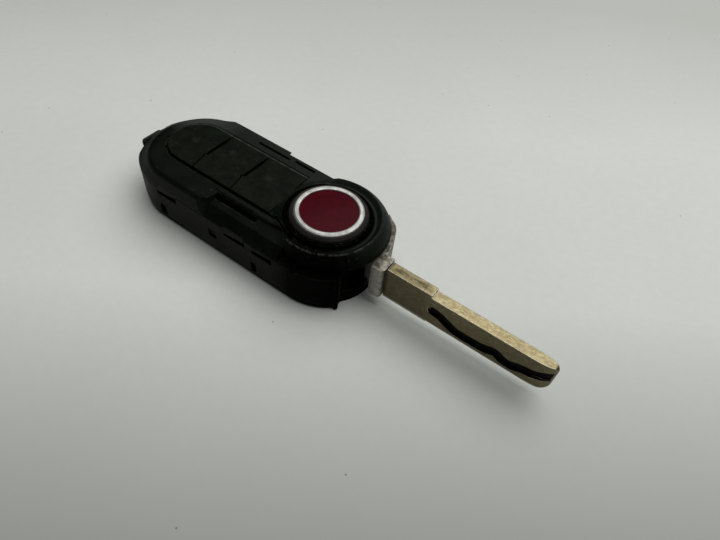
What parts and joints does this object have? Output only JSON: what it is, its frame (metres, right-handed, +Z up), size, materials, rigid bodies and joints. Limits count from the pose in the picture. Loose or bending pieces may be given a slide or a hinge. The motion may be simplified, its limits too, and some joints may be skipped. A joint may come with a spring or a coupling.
{
  "type": "flip key remote",
  "caption": "Black flip key remote with a swivelling metal blade, a round red-centred release button, a row of soft keys, a sliding coin cell drawer with a lock, and a key ring eye.",
  "frame": {"origin": "on the table the remote lies on, under the middle of the round release button", "axes": "+X along the open blade, away from the key ring eye; -Y towards the battery drawer's side; +Z up, out of the key pad"},
  "size_m": [0.1137, 0.029, 0.0178],
  "materials": {
    "housing_plastic": "fine moulded texture, worn smooth on the ridges",
    "button_plastic": "satin",
    "emblem_metal": "bright silver",
    "red_enamel": "clear gloss over deep red",
    "key_rubber": "matt, faintly worn",
    "spring_steel": "drawn wire",
    "pin_steel": "ground",
    "head_nickel": "nickel plated casting",
    "blade_nickel": "nickel silver, milled track",
    "board_laminate": "solder mask",
    "chip_plastic": "moulded package",
    "switch_steel": "stamped cover",
    "coil_copper": "enamelled winding",
    "terminal_metal": "sprung strip",
    "cell_steel": "pressed can",
    "lock_plastic": "satin"
  },
  "bodies": {
    "housing": {"lower_housing": "housing_plastic", "upper_housing": "housing_plastic", "circuit_board": "board_laminate", "microcontroller": "chip_plastic", "radio_crystal": "switch_steel", "transponder_coil": "coil_copper", "battery_terminal_minus": "terminal_metal", "battery_terminal_plus": "terminal_metal", "lock_switch": "switch_steel", "unlock_switch": "switch_steel", "boot_switch": "switch_steel", "pivot_pin": "pin_steel", "release_spring": "spring_steel"},
    "release": {"release_button": "button_plastic", "emblem_ring": "emblem_metal", "emblem_enamel": "red_enamel", "release_latch": "spring_steel"},
    "lock_key": {"lock_key": "key_rubber"},
    "unlock_key": {"unlock_key": "key_rubber"},
    "boot_key": {"boot_key": "key_rubber"},
    "drawer": {"battery_drawer": "housing_plastic", "coin_cell": "cell_steel"},
    "drawer_lock": {"drawer_lock": "lock_plastic"},
    "blade": {"blade_head": "head_nickel", "key_blade": "blade_nickel", "blade_roll_pin": "pin_steel", "flip_spring": "spring_steel"}
  },
  "joints": [
    {"name": "blade_flip", "type": "hinge", "parent": "housing", "child": "blade", "pos_m": [0.0085, 0.0057, 0.0086], "axis": [0, 0, 1], "range_deg": [0, 180], "stiffness_Nm_per_rad": 0.02, "springref_deg": -29.79},
    {"name": "release_press", "type": "slide", "parent": "housing", "child": "release", "axis": [0, 0, -1], "range_m": [0, 0.0012], "stiffness_N_per_m": 400, "deforming": ["release_spring"]},
    {"name": "lock_press", "type": "slide", "parent": "housing", "child": "lock_key", "axis": [0, 0, -1], "range_m": [0, 0.00045], "stiffness_N_per_m": 800},
    {"name": "unlock_press", "type": "slide", "parent": "housing", "child": "unlock_key", "axis": [0, 0, -1], "range_m": [0, 0.00045], "stiffness_N_per_m": 800},
    {"name": "boot_press", "type": "slide", "parent": "housing", "child": "boot_key", "axis": [0, 0, -1], "range_m": [0, 0.00045], "stiffness_N_per_m": 800},
    {"name": "drawer_slide", "type": "slide", "parent": "housing", "child": "drawer", "axis": [0, -1, 0], "range_m": [0, 0.022]},
    {"name": "drawer_lock_turn", "type": "hinge", "parent": "drawer", "child": "drawer_lock", "pos_m": [-0.0229, -0.0132, 0.0062], "axis": [0, 1, 0], "range_deg": [0, 90]}
  ]
}
